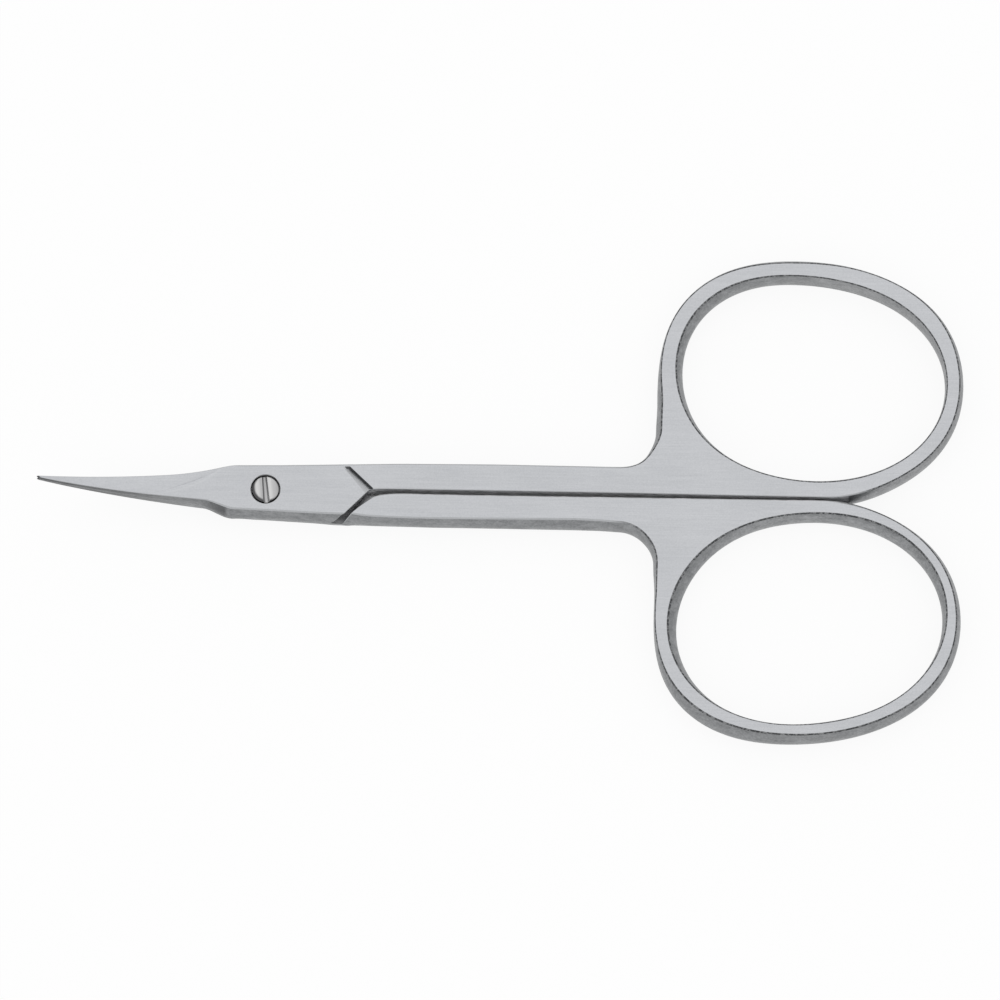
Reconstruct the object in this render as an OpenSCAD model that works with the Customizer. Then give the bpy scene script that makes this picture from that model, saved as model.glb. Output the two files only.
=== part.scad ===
// Cuticle scissors with curved blades: two forged halves that cross at a screw joint.
// X runs along the scissors, with the blade tips at -X and the finger rings at +X.
// Z runs up, out of the shield face. The origin is on the screw's axis, in the plane
// that the closed scissors lie on.

/* [Overall] */
// Thickness of the shanks and the rings
thickness = 3.2; // [2.8:0.1:4]
// Gap between the two layers where the halves cross
layer_gap = 0.1; // [0.06:0.02:0.2]
// Gap between the closed shanks, beside the joint
shank_gap = 0.36; // [0.2:0.02:0.6]
// Gap between the closed rings
ring_gap = 0.2; // [0.1:0.02:0.4]

/* [Blades] */
// Distance from the pivot to the blade tips
blade_reach = 22.3; // [20:0.1:26]
// Width across the blades at the tip
tip_w = 0.22; // [0.16:0.02:0.5]
// Width across the blades where the slender taper ends
taper_w = 2.75; // [2:0.05:3.4]
// Length of the slender taper, from the tip
taper_l = 14.5; // [11:0.5:15.5]
// Width across the blades where they leave the joint
root_w = 4.5; // [3.8:0.1:4.8]
// Sideways offset of the blades' centre line from the pivot, towards the upper ring
blade_offset = 0.28; // [0:0.02:0.4]
// Rise of the curved blades' meeting faces at the tip
blade_rise = 3.3; // [2.5:0.1:4.5]
// Thickness of each blade at the tip
tip_t = 0.5; // [0.35:0.05:0.8]
// Slope of the ground outer faces towards the cutting edges, in degrees
bevel_slope = 7; // [3:1:9]
// Distance from the pivot to where the upper blade's hollow grind meets its back
hollow_x = 9.8; // [8:0.2:11]
// Distance from the pivot to the line where the lower blade's belly leaves the flat
belly_x = 7.5; // [6:0.5:9]
// Radius of the lower blade's belly
belly_r = 57; // [45:1:80]

/* [Joint] */
// Distance from the pivot to the front of the joint
joint_front = 3.3; // [2.8:0.1:4]
// Length of the corners that lead from the blades to the joint's sides
front_corner_l = 1; // [0.5:0.1:2]
// Half width of the joint at its front, on the upper ring's side
upper_front_w = 2.68; // [2.5:0.02:2.8]
// Half width of the joint at its front, on the lower ring's side
lower_front_w = 2.4; // [2.2:0.02:2.7]
// Distance from the pivot to the point of the lap, beside the gap between the shanks
lap_point_x = 10.1; // [9:0.1:12]
// Slant of the lap's end in plan, in degrees
lap_slant = 45; // [40:1:50]
// Undercut of the lap's end, in degrees from upright
lap_undercut = 32; // [10:1:40]
// Gap between the lap's end and the shoulder, along the side of the shank
shoulder_gap = 0.35; // [0.3:0.05:0.8]
// Slant of the shoulder in plan, in degrees
shoulder_slant = 38; // [34:1:45]
// Slope of the shoulder, in degrees from upright
shoulder_slope = 20; // [5:1:30]
// Slant of the groove that crosses the shield face behind the lap, in degrees
groove_slant = 42; // [38:1:50]
// Width of the groove
groove_w = 0.45; // [0.3:0.05:0.7]
// Depth of the groove
groove_depth = 0.28; // [0.16:0.02:0.4]

/* [Shanks] */
// Half width of the upper shank beside the joint, from the gap's middle
upper_shank_w = 2.98; // [2.8:0.02:3.2]
// Half width of the upper shank at the neck of its ring
upper_neck_w = 3.16; // [3:0.02:3.5]
// Half width of the lower shank beside the joint
lower_shank_w = 2.9; // [2.7:0.02:3.1]
// Half width of the lower shank at the neck of its ring
lower_neck_w = 3; // [2.8:0.02:3.4]
// Distance from the pivot to where the shanks reach their full width
shank_straight_x = 22; // [16:1:28]
// Radius of the hollow between a shank and the neck of its ring
neck_r = 3.6; // [2:0.1:5]

/* [Rings] */
// Distance from the pivot to the middle of the rings
ring_x = 52.67; // [49:0.1:56]
// Half length of a ring, to the middle of its band
ring_half_l = 13.88; // [12.5:0.02:15]
// Half width of a ring, to the middle of its band
ring_half_w = 11.05; // [10.6:0.05:12]
// Turn of a ring's long axis, outer end towards the other ring, in degrees
ring_turn = 7; // [0:1:12]
// Width of the band halfway up its rounded sides
band_w = 2.08; // [1.8:0.02:2.6]
// Width of the band's flat faces
band_flat_w = 1.2; // [0.8:0.05:1.5]

/* [Screw] */
// Diameter of the screw's head
head_d = 2.78; // [2.4:0.02:3]
// Height of the head
head_h = 0.72; // [0.5:0.02:0.9]
// Depth of the head's top below the shield face
head_sink = 0.08; // [0.02:0.02:0.2]
// Clearance round the head in its counterbore
head_gap = 0.14; // [0.1:0.01:0.3]
// Play under the head
head_play = 0.04; // [0.02:0.01:0.08]
// Diameter of the journal that the upper half turns on
journal_d = 2; // [1.8:0.05:2.2]
// Running clearance round the journal
running_gap = 0.03; // [0.02:0.01:0.08]
// Diameter of the threaded end
thread_d = 1.7; // [1.4:0.05:1.75]
// Width of the driver's slot
slot_w = 0.46; // [0.3:0.02:0.6]
// Depth of the slot
slot_depth = 0.34; // [0.2:0.02:0.44]
// Turn of the slot from square across the scissors, in degrees
slot_turn = 6; // [0:1:90]

/* [Hidden] */
steel = "#c6c8ca";
screw_steel = "#d2d3d4";
margin = 5;
lip = 0.5;
arc_fn = 360;
round_fn = 96;
mid_z = thickness / 2;
gap_y = shank_gap / 2;
layer_z = mid_z + layer_gap / 2;
tip_z = mid_z + blade_rise + tip_t;
upper_w = [upper_front_w, upper_shank_w, upper_neck_w];
lower_w = [lower_front_w, lower_shank_w, lower_neck_w];

bend_l = blade_reach - joint_front;
bend_r = rise_radius(bend_l, blade_rise);
hollow_low_z = thickness - blade_half_w(blade_reach - hollow_x) * tan(bevel_slope);
hollow_r = rise_radius(blade_reach - hollow_x, tip_z - hollow_low_z);
belly_centre = arc_centre([-blade_reach, tip_z - 2 * tip_t], [-belly_x, 0], belly_r);

joint_run = 5;
joint_rise = 12;
oval_k = (ring_half_l - ring_half_w) / (joint_run + joint_rise - norm([joint_run, joint_rise]));
end_centre = joint_run * oval_k;
side_centre = joint_rise * oval_k;
end_r = ring_half_l - end_centre;
side_r = ring_half_w + side_centre;
end_sweep = 2 * atan2(joint_rise, joint_run);
side_sweep = 180 - end_sweep;
band_bulge = (band_w - band_flat_w) / 2;
band_side_r = (pow(mid_z, 2) + pow(band_bulge, 2)) / (2 * band_bulge);
ring_y = ring_gap / 2 + band_w / 2 + side_r - side_centre * cos(ring_turn);
neck_x = ring_x - end_centre * cos(ring_turn) - end_r - band_w / 2;
neck_y = ring_y + end_centre * sin(ring_turn);

head_z = thickness - head_sink - head_h;

// Radius of an arc that starts level and rises by rise over a length
function rise_radius(length, rise) = (pow(length, 2) + pow(rise, 2)) / (2 * rise);

// Centre of the circle of radius r through a and b, on the left of the way from a to b
function arc_centre(a, b, r) =
    let (chord = norm(b - a), along = (b - a) / chord)
    (a + b) / 2 + sqrt(pow(r, 2) - pow(chord / 2, 2)) * [-along[1], along[0]];

// Points of an arc about centre c, without its last one
function arc_points(c, r, from, sweep, steps) =
    [for (i = [0:steps - 1]) let (a = from + sweep * i / steps) c + r * [cos(a), sin(a)]];

// Half width of the blades at a distance s from the tip: a straight taper, then a flare
function blade_half_w(s) =
    let (slope = (taper_w - tip_w) / 2 / taper_l,
         flare_l = bend_l - taper_l,
         flare = (root_w - taper_w) / 2 - slope * flare_l)
    tip_w / 2 + slope * s + flare * pow(max(0, s - taper_l) / flare_l, 2);

// Where a shank's side, at a half width w, meets the line of the lap's end
function lap_corner_x(w) = lap_point_x - (gap_y + w) / tan(lap_slant);

// A cylinder across the blades, standing on the point low and rolled about their centre line
module cross_cylinder(low, r, roll = 0) {
    translate([low[0], blade_offset, low[1]])
        rotate([-roll, 0, 0])
            translate([0, 0, r])
                rotate([90, 0, 0])
                    cylinder(r = r, h = 4 * margin, center = true, $fn = arc_fn);
}

// What lies below a cylinder across the blades, from the front of the joint to past the tips
module below_cylinder(low, r, roll = 0) {
    length = bend_l + margin;
    difference() {
        translate([-joint_front - length, -2 * margin, -margin])
            cube([length, 4 * margin, tip_z + 2 * margin]);
        cross_cylinder(low, r, roll);
    }
}

// Upright blank with the closed blades' outline
module blade_blank() {
    steps = 14;
    stations = [for (i = [0:steps]) bend_l * i / steps];
    translate([-blade_reach, blade_offset, 0])
        linear_extrude(height = tip_z + margin)
            polygon(concat(
                [for (s = stations) [s, -blade_half_w(s)]],
                [for (i = [steps:-1:0]) [stations[i], blade_half_w(stations[i])]]));
}

// The upper half's blade: curved meeting face below, hollow ground face above
module upper_blade() {
    difference() {
        blade_blank();
        below_cylinder([-joint_front, layer_z], bend_r - layer_gap / 2);
        cross_cylinder([-hollow_x, hollow_low_z], hollow_r, bevel_slope);
        translate([-hollow_x, -2 * margin, thickness])
            cube([hollow_x, 4 * margin, tip_z + margin]);
    }
}

// The lower half's blade: curved meeting face above, round belly below
module lower_blade() {
    difference() {
        blade_blank();
        cross_cylinder([-joint_front, mid_z - layer_gap / 2], bend_r + layer_gap / 2);
        below_cylinder([belly_centre[0], belly_centre[1] - belly_r], belly_r, bevel_slope);
    }
}

// The next modules draw a half with its ring towards +Y and its lap as the upper layer

// Carries its children to the middle of the ring
module at_ring() {
    translate([ring_x, ring_y])
        rotate([0, 0, -ring_turn])
            children();
}

// Outline along the middle of the ring's band: four arcs that meet on lines of slope
// joint_rise / joint_run
module ring_middle() {
    steps = 7;
    at_ring()
        polygon(concat(
            arc_points([end_centre, 0], end_r, -end_sweep / 2, end_sweep, steps),
            arc_points([0, -side_centre], side_r, end_sweep / 2, side_sweep, steps),
            arc_points([-end_centre, 0], end_r, 180 - end_sweep / 2, end_sweep, steps),
            arc_points([0, side_centre], side_r, 180 + end_sweep / 2, side_sweep, steps)));
}

// Section of the ring's band: flat faces and rounded sides
module band_section() {
    intersection() {
        square([2 * band_w, thickness], center = true);
        translate([band_w / 2 - band_side_r, 0])
            circle(band_side_r, $fn = round_fn);
        translate([band_side_r - band_w / 2, 0])
            circle(band_side_r, $fn = round_fn);
    }
}

// The part of a round band of radius r that lies over a plan drawn from the band's centre
module band_arc(r, plan) {
    intersection() {
        translate([0, 0, mid_z])
            rotate_extrude($fn = arc_fn)
                translate([r, 0])
                    band_section();
        translate([0, 0, -lip])
            linear_extrude(height = thickness + 2 * lip)
                polygon(plan);
    }
}

// The ring: two tight end arcs and two flatter side arcs
module ring_band() {
    joint = 2 * [joint_run, joint_rise];
    end_plan = [[0, 0], joint, [2 * end_r, joint[1]], [2 * end_r, -joint[1]], [joint[0], -joint[1]]];
    side_plan = [[0, 0], joint, [-joint[0], joint[1]]];
    at_ring()
        for (side = [0, 180])
            rotate([0, 0, side]) {
                translate([end_centre, 0, 0])
                    band_arc(end_r, end_plan);
                translate([0, -side_centre, 0])
                    band_arc(side_r, side_plan);
            }
}

// Plan of the lap, the shank and the neck, up to the middle of the ring's band
module half_plan(own, other, blade_y) {
    difference() {
        union() {
            polygon([
                [-joint_front, blade_y - root_w / 2],
                [front_corner_l - joint_front, -other[0]],
                [lap_corner_x(other[1]), -other[1]],
                [lap_point_x, gap_y],
                [ring_x, ring_gap / 2],
                [ring_x, neck_y],
                [neck_x, neck_y],
                [neck_x, own[2]],
                [shank_straight_x, own[2]],
                [lap_corner_x(own[1]), own[1]],
                [front_corner_l - joint_front, own[0]],
                [-joint_front, blade_y + root_w / 2]]);
            difference() {
                translate([neck_x - neck_r, own[2] - lip])
                    square([neck_r + lip, neck_r + lip]);
                translate([neck_x - neck_r, own[2] + neck_r])
                    circle(neck_r, $fn = round_fn);
            }
        }
        ring_middle();
    }
}

// A bar through a point of the plan, along a line at an angle, with a profile across it
module slanted_bar(at, angle, profile) {
    translate([at[0], at[1], 0])
        rotate([90, 0, 90 + angle])
            linear_extrude(height = 2 * blade_reach, center = true)
                polygon(profile);
}

// Everything below the lap's layer and in front of the sloping shoulder
module shoulder_cut(side_w) {
    lean = tan(shoulder_slope);
    slanted_bar([lap_corner_x(side_w) + shoulder_gap, side_w], -shoulder_slant, [
        [lip * lean, -lip],
        [-blade_reach, -lip],
        [-blade_reach, layer_z],
        [-layer_z * lean, layer_z]]);
}

// Wedge that undercuts the lap's end, beside the shank
module lap_cut() {
    lean = tan(lap_undercut);
    difference() {
        slanted_bar([lap_point_x, gap_y], lap_slant, [
            [-lip * lean, thickness + lip],
            [-blade_reach, thickness + lip],
            [-blade_reach, -lip],
            [(thickness + lip) * lean, -lip]]);
        translate([-blade_reach, gap_y, -margin])
            cube([3 * blade_reach, blade_reach, thickness + 2 * margin]);
    }
}

// Groove across the shield face that mirrors the lap's end: a steep wall and a sloping bank
module groove_cut() {
    slanted_bar([lap_point_x, gap_y], -groove_slant, [
        [0, thickness - groove_depth],
        [0, thickness + lip],
        [-groove_w, thickness + lip],
        [-groove_w, thickness]]);
}

// A half without its blade: lap, shank, neck and ring
module half(own, other, blade_y) {
    difference() {
        union() {
            linear_extrude(height = thickness)
                half_plan(own, other, blade_y);
            ring_band();
        }
        shoulder_cut(own[1]);
        lap_cut();
        groove_cut();
    }
}

// The half that lies over the other one, with the screw head's seat
module upper_half() {
    color(steel)
        difference() {
            union() {
                half(upper_w, lower_w, blade_offset);
                upper_blade();
            }
            cylinder(d = journal_d + 2 * running_gap, h = thickness + margin, $fn = round_fn);
            translate([0, 0, head_z - head_play])
                cylinder(d = head_d + 2 * head_gap, h = thickness, $fn = round_fn);
        }
}

// The half that lies under the other one, with the screw's thread in it
module lower_half() {
    color(steel)
        difference() {
            union() {
                translate([0, 0, thickness])
                    rotate([180, 0, 0])
                        half(lower_w, upper_w, -blade_offset);
                lower_blade();
            }
            translate([0, 0, -margin])
                cylinder(d = thread_d, h = thickness + margin, $fn = round_fn);
        }
}

// The slotted screw that the upper half turns on, flush with the rear face
module pivot_screw() {
    seat_z = mid_z - layer_gap / 2;
    top_z = head_z + head_h;
    color(screw_steel)
        difference() {
            rotate_extrude($fn = round_fn)
                polygon([
                    [0, 0],
                    [thread_d / 2, 0],
                    [thread_d / 2, seat_z],
                    [journal_d / 2, seat_z],
                    [journal_d / 2, head_z],
                    [head_d / 2, head_z],
                    [head_d / 2, top_z],
                    [0, top_z]]);
            translate([0, 0, top_z])
                rotate([0, 0, slot_turn])
                    cube([slot_w, 2 * head_d, 2 * slot_depth], center = true);
        }
}

upper_half();
lower_half();
pivot_screw();
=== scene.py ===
import math

import bmesh
import bpy
import numpy as np
from mathutils import Matrix, Vector


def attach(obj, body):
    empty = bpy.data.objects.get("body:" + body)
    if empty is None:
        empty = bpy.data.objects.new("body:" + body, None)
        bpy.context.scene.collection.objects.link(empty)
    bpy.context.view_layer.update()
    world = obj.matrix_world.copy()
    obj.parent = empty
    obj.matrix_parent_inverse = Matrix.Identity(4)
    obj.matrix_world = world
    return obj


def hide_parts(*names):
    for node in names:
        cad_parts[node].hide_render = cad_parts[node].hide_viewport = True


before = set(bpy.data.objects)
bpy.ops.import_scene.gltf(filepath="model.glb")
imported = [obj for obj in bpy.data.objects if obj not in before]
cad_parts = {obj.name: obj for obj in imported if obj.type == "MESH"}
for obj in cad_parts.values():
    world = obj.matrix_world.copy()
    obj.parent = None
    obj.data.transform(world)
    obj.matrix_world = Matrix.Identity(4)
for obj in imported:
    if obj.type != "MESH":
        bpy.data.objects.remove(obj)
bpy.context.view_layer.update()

mm = 0.001
mergeWithin = 2e-8  # in metres
thinWithin = 1e-8
print("frame loaded")

# shapes shared by the two halves, in mm, with the ring towards +Y and the lap on top

forging = {
    "thickness": 3.2,
    "tipX": -22.16,
    "farTaper": {"start": 0.38, "slope": 0.0745, "flare": 0.0138, "flareFrom": 12.5},
    "nearTaper": {"start": -0.17, "nip": 0.1, "nipOver": 3.2, "slope": 0.0823,
                  "flare": 0.0405, "flareFrom": 16.55, "flareOver": 0.15},
    "flareBlend": 0.05,
    "meetGap": 0.03,  # half of the slit between the two meeting faces
    "meetNarrows": (-6, 10, 0.6),  # where the slit starts to narrow, over what length and by what share
    "meetStart": -3.3,
    "meetRadius": 56.35,
    "facetFade": 2.6,
    "jointBack": 7.5,  # where the joint's far side gives way to the lap's end
    "lapRun": 0.985,  # how far the lap's end runs along x for each mm across
    "lapMeetsGap": (10.16, 0.14),
    "lapFoot": (6.35, -2.86),
    "shoulderFoot": (9.0, -0.17),
    "shoulderSpan": (9.5, 12),
    "shoulderEnd": 13.0,
    # how far the shoulder's blunt corner draws in along x
    "cornerDip": [(8.34, 0.31), (9.4, 0.14), (10.55, 0.07), (12, 0.03), (13.5, 0)],
    "grooveDepth": 0.28,
    "grooveEnd": (0.86, 0.08),  # the share of the width where the groove runs out, and over how much
    "edgeBreak": 0.1,
    "breakOfWidth": 0.12,  # the most that an edge break takes of the width
    "bladeBreak": (0.45, -8, 5),  # what share of it a blade has, up to which x, and grown over what length
    "lapBreak": 0.02,
    "leastBulge": 0.05,
    "filletX": 34.15,
    "filletRise": 4.02,
    "filletTuck": 0.1,
    "neckBow": (-1.0, 0.6),
    "ringFrom": 190,  # degrees round the ring, from the neck's wall to the end of the gap
    "ringTo": 235.8,
    "pressFrom": 53.5,  # where the ring's outer edge leaves the gap's line, and over what length
    "pressOver": 3,
    "faceColumns": 25,
    "wallRows": 12,
    "breakRows": 4,
    "filletRows": 22,
    "neckRows": 14,
    "ringColumns": 190,
    "bandColumns": 5,
    "slack": 0.0001,
}

upperHalf = {
    "bladeY": 0.28,
    "ownSide": [(-3.4, 2.335), (-2.5, 2.355), (1.4, 2.42), (5.25, 2.53), (9.1, 2.65), (13, 2.76),
                (18.8, 2.82), (22.7, 2.85), (30.5, 2.81), (34.15, 2.79)],
    "otherSide": [(-3.4, 2.0), (-2.3, 2.02), (1.2, 2.15), (3.5, 2.25), (5.9, 2.32), (7.46, 2.34)],
    "gapEdge": [(10.16, 0.14), (11.5, 0.19), (20, 0.20), (36, 0.18), (45, 0.12), (56, 0.09)],
    "facetBack": -11.2,  # where the ground face starts, at the blade's back and at its edge
    "facetEdge": -4.3,
    "facetBow": 0.75,
    "hollowX": -9.5,
    "hollowDepth": 0.1,
    "hollowRadius": 36.5,
    "bevelSlope": 0.125,
    "shoulder": [(10.1, 0.16), (11.9, 0.18), (13.0, 0.2)],
    "shoulderForward": 0.18,
    "neckX": 38.3,
    # above the neck: how far the face's edge draws in and the side swells, at what angle, how widely
    "neckShift": (0.22, 0.22, 190, 10),
    "filletEase": (-0.32, 0.0),
    "filletReach": 0.86,
    "filletBulge": 0.5,
    "filletPower": 2.5,
    "ownBulge": [(-22, 0.05), (-10, 0.06), (-6, 0.1), (-4, 0.22), (-2.5, 0.25), (34, 0.3)],
    "otherBulge": [(-22, 0.05), (-10, 0.07), (-6.5, 0.15), (-5.6, 0.35), (-4.7, 0.5), (-4.0, 0.58),
                   (-3.4, 0.58), (-2.8, 0.5), (0, 0.48), (3.5, 0.46), (5.9, 0.5), (7.46, 0.56)],
    "ringCentre": (52.8, 12.3),
    # radii and bulges round the ring: mean, then cosine and sine of each multiple of the angle
    "innerFace": [11.745, -0.095, -0.200, 1.406, -0.397, 0.095, 0.067, -0.004, -0.036, 0.036, -0.003,
                  -0.013, 0.002],
    "outerFace": [13.539, -0.534, -0.590, 1.426, 0.173, 0.268, -0.197, -0.333, 0.037, 0.194, 0.074,
                  -0.058, -0.100, -0.046, 0.029],
    "innerBulge": [0.314, -0.192, -0.051, 0.081, -0.086, -0.031, 0.073, -0.007, 0.011],
    "outerBulge": [0.357, -0.015, -0.028, -0.099, 0.082, 0.104, -0.011, 0.009, 0.015],
}

lowerHalf = {
    "bladeY": -0.28,
    "ownSide": [(-3.4, 2.0), (-2.3, 2.03), (-1.1, 2.125), (1.4, 2.26), (5.25, 2.46), (7.2, 2.62),
                (9.4, 2.61), (13, 2.63), (16.3, 2.655), (19.8, 2.63), (23.3, 2.59), (26.8, 2.545),
                (30.3, 2.515), (32.6, 2.60), (34.15, 2.72)],
    "otherSide": [(-3.4, 2.34), (-2.5, 2.36), (1.4, 2.44), (5.25, 2.54), (7.46, 2.62)],
    "gapEdge": [(10.16, 0.14), (13, 0.2), (20, 0.24), (36, 0.22), (56, 0.2)],
    "facetBack": -8.6,
    "facetEdge": -6.4,
    "facetBow": 0.0,
    "bellyX": 1.2,
    "bellyRadius": 57.0,
    "bellyCrest": 0.7,  # how far the arc's crest would stand above the flat face
    "bevelSlope": 0.125,
    "shoulder": [(10.28, 0.58), (10.37, 0.62), (10.73, 0.5), (11.1, 0.38), (11.9, 0.26), (13.0, 0.2)],
    "shoulderForward": 0.0,
    "neckX": 38.05,
    "neckShift": (0.12, 0.0, 190, 10),
    "filletEase": (0.0, 0.1),
    "filletReach": 1.0,
    "filletBulge": 0.33,
    "filletPower": 1.0,
    "ownBulge": [(-22, 0.05), (-10, 0.07), (-6.5, 0.15), (-5.6, 0.35), (-4.7, 0.5), (-4.0, 0.58),
                 (-3.4, 0.54), (-2.8, 0.46), (0, 0.38), (5, 0.35), (13, 0.36), (19.8, 0.42),
                 (23.3, 0.48), (26.8, 0.55), (30.3, 0.6), (34, 0.5)],
    "otherBulge": [(-22, 0.05), (-10, 0.06), (-6, 0.1), (-4, 0.22), (-2.5, 0.25), (34, 0.3)],
    "ringCentre": (52.75, 12.2),
    "innerFace": [12.013, -0.064, -0.058, 1.435, -0.385, 0.010, 0.006, 0.026, -0.039, -0.002, 0.005,
                  0.002, -0.011],
    "outerFace": [13.483, -0.609, -0.422, 1.517, 0.174, 0.220, -0.215, -0.278, 0.076, 0.187, 0.084,
                  -0.069, -0.076, -0.020, 0.033],
    "innerBulge": [0.459, -0.132, -0.146, 0.143, -0.043, -0.119, -0.084, 0.016, -0.014],
    "outerBulge": [0.519, -0.091, -0.149, -0.176, 0.121, 0.254, 0.034, -0.094, -0.080],
}

# Key stations from the tip to the neck: number of steps from the key before, x on the far edge of
# the face and on its near edge, the same below, drop of the face, height of the full shank's
# underside (None in front of the shoulder) and bow of the station along x
keyStations = [
    (0, -21.93, -22.16, -21.93, -22.16, 0.6, None, 0),
    (1, -21.76, -22.0, -21.76, -22.0, 0, None, 0),
    (70, "back", "edge", "back", "edge", 0, None, "bow"),
    (40, -2.0, -2.0, -2.0, -2.0, 0, None, 0),
    (20, 7.5, 3.2, 6.35, 2.5, 0, None, 0),
    (16, 9.74, 7.35, 8.7, 5.8, 0, None, 0),
    (3, 10.29, 7.89, 8.9, 6.0, 1.0, None, 0),
    (1, 10.43, 8.03, 9.0, 6.1, 0.1, None, 0),
    (1, 10.46, 8.06, 9.1, 6.2, 0, None, 0),
    (2, 10.9, 8.40, 9.75, 7.5, 0, None, -0.08),
    (1, 11.1, 8.6, 10.30, 8.36, 0, 0.09, -0.08),
    (1, 11.25, 8.75, 10.39, 8.45, 0, 0.0, -0.08),
    (1, 11.6, 9.1, 10.73, 8.8, 0, 0.0, -0.06),
    (2, 12.3, 9.8, 11.6, 9.7, 0, 0.0, -0.02),
    (2, 13.0, 10.6, 12.6, 10.7, 0, 0.0, 0),
    (40, 38.0, forging["filletX"], 38.0, forging["filletX"], 0, 0.0, 0),
]


def smoothMin(a, b, k):
    # -k log(exp(-a/k) + exp(-b/k))
    return -k * np.logaddexp(-a / k, -b / k)


def smoothStep(t):
    # 3t^2 - 2t^3 between 0 and 1
    t = np.clip(t, 0, 1)
    return t * t * (3 - 2 * t)


def knots(pairs, x):
    # straight lines between pairs of x and value
    return np.interp(x, [p[0] for p in pairs], [p[1] for p in pairs])


def roundRing(series, angle):
    # mean + sum over n of (a cos n angle + b sin n angle)
    total = np.full_like(angle, series[0])
    for n in range(1, (len(series) + 1) // 2):
        total += series[2 * n - 1] * np.cos(n * angle) + series[2 * n] * np.sin(n * angle)
    return total


def outwardNormals(path):
    # mitred left-hand normals of an open path: (na + nb) / max(1 + na.nb, 0.4)
    step = np.diff(path, axis=0)
    step /= np.maximum(np.linalg.norm(step, axis=1, keepdims=True), 1e-9)
    side = np.stack([-step[:, 1], step[:, 0]], -1)
    na = np.vstack([side[:1], side])
    nb = np.vstack([side, side[-1:]])
    dot = (na * nb).sum(1, keepdims=True)
    return (na + nb) / np.maximum(1 + dot, 0.4)


def bladeSide(x, far):
    # by the distance s from the tip, on the far (+Y) side of the scissors start + m s + q max(0, s - s0)^2,
    # and on the near one start - nip exp(-s / l) + m s + q log(1 + exp((s - s0) / k))
    s = x - forging["tipX"]
    if far:
        t = forging["farTaper"]
        return t["start"] + t["slope"] * s + t["flare"] * np.maximum(0, s - t["flareFrom"]) ** 2
    t = forging["nearTaper"]
    return (t["start"] - t["nip"] * np.exp(-s / t["nipOver"]) + t["slope"] * s
            + t["flare"] * np.logaddexp(0, (s - t["flareFrom"]) / t["flareOver"]))


def ownSideY(h, x):
    # half width on the ring's side: the lesser of blade and joint, with a rounded corner
    return smoothMin(bladeSide(x, h["bladeY"] > 0), knots(h["ownSide"], x), forging["flareBlend"])


def otherSideY(h, x):
    # the same on the side away from the ring
    return smoothMin(bladeSide(x, h["bladeY"] < 0), knots(h["otherSide"], x), forging["flareBlend"])


def farEdge(h, x):
    # the face's edge away from the ring: joint's side, then the lap's end at 45 degrees, then the gap
    side = -otherSideY(h, x)
    gapX, gapY = forging["lapMeetsGap"]
    lap = np.maximum(side, gapY + (x - gapX) / forging["lapRun"])
    return np.where(x > gapX, knots(h["gapEdge"], x), np.where(x < forging["jointBack"], side, lap))


def farEdgeBelow(h, x, full):
    # the same edge one layer down: the lap's end is undercut, and the shoulder leads into the gap
    lapX, lapY = forging["lapFoot"]
    shoulderX, shoulderY = forging["shoulderFoot"]
    lap = lapY + (x - lapX) / forging["lapRun"]
    y = np.where(x < lapX + forging["slack"], -otherSideY(h, x), lap)
    y = np.where(x > shoulderX, shoulderY, y)
    behind = np.where(x > forging["shoulderEnd"], knots(h["gapEdge"], x), knots(h["shoulder"], x))
    return np.where(full, behind, y)


def meetingZ(x):
    # s^2 / 2R above the middle, from the front of the joint to the tip
    s = np.maximum(0, forging["meetStart"] - x)
    return s * s / (2 * forging["meetRadius"])


def facetX(h, v):
    # the facet line across the blade: back + (edge - back) v + 4 v (1 - v) bow
    return h["facetBack"] + (h["facetEdge"] - h["facetBack"]) * v + 4 * v * (1 - v) * h["facetBow"]


def groundZ(h, x, y):
    # hollow ground: T - d - m (y - yc) + (x - x0)^2 / 2R; belly: the same slope under an arc
    top = forging["thickness"]
    tilt = h["bevelSlope"] * (y - h["bladeY"])
    if "hollowX" in h:
        return top - h["hollowDepth"] - tilt + (x - h["hollowX"]) ** 2 / (2 * h["hollowRadius"])
    low = h["bellyRadius"] - h["bellyCrest"]
    return top - low + np.sqrt(h["bellyRadius"] ** 2 - (x - h["bellyX"]) ** 2) - tilt


def faceZ(h, x, y, v):
    # flat behind the facet line, ground in front of it, joined with a correction that fades
    top = forging["thickness"]
    line = facetX(h, v)
    lineY = -otherSideY(h, line) * (1 - v) + ownSideY(h, line) * v
    ahead = line - x
    step = groundZ(h, line, lineY) - top
    ground = groundZ(h, x, y) - step * np.exp(-(ahead / forging["facetFade"]) ** 2)
    return np.where(ahead > 0, ground, top)


def wallColumns(top, below, bulge, normal, zTop, zBelow, full, breakTop, breakBelow):
    # rows down a side: a quarter-round break, a barrel, and a quarter-round break.
    # xy = lerp(top, below, f) + bulge B(f) - normal inset; B = 1 - (1 - 2f)^2, or 1 - (1 - f)^2 on a lap
    turn = np.radians(np.linspace(0, 90, forging["breakRows"] + 1))
    inner = np.arange(1, forging["wallRows"]) / forging["wallRows"]
    height = zTop - zBelow
    depth = np.hstack([breakTop[:, None] * (1 - np.cos(turn)),
                       breakTop[:, None] + (height - breakTop - breakBelow)[:, None] * inner,
                       height[:, None] - breakBelow[:, None] * (1 - np.cos(turn[::-1]))])
    inset = np.hstack([breakTop[:, None] * (1 - np.sin(turn)), 0 * top[:, :1] * inner,
                       breakBelow[:, None] * (1 - np.sin(turn[::-1]))])
    f = depth / height[:, None]
    barrel = np.where(full[:, None], 1 - (1 - 2 * f) ** 2, 1 - (1 - f) ** 2)
    xy = (top[:, None] * (1 - f)[..., None] + below[:, None] * f[..., None]
          + bulge[:, None] * barrel[..., None] - normal[:, None] * inset[..., None])
    return np.dstack([xy, zTop[:, None] - depth])


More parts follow.
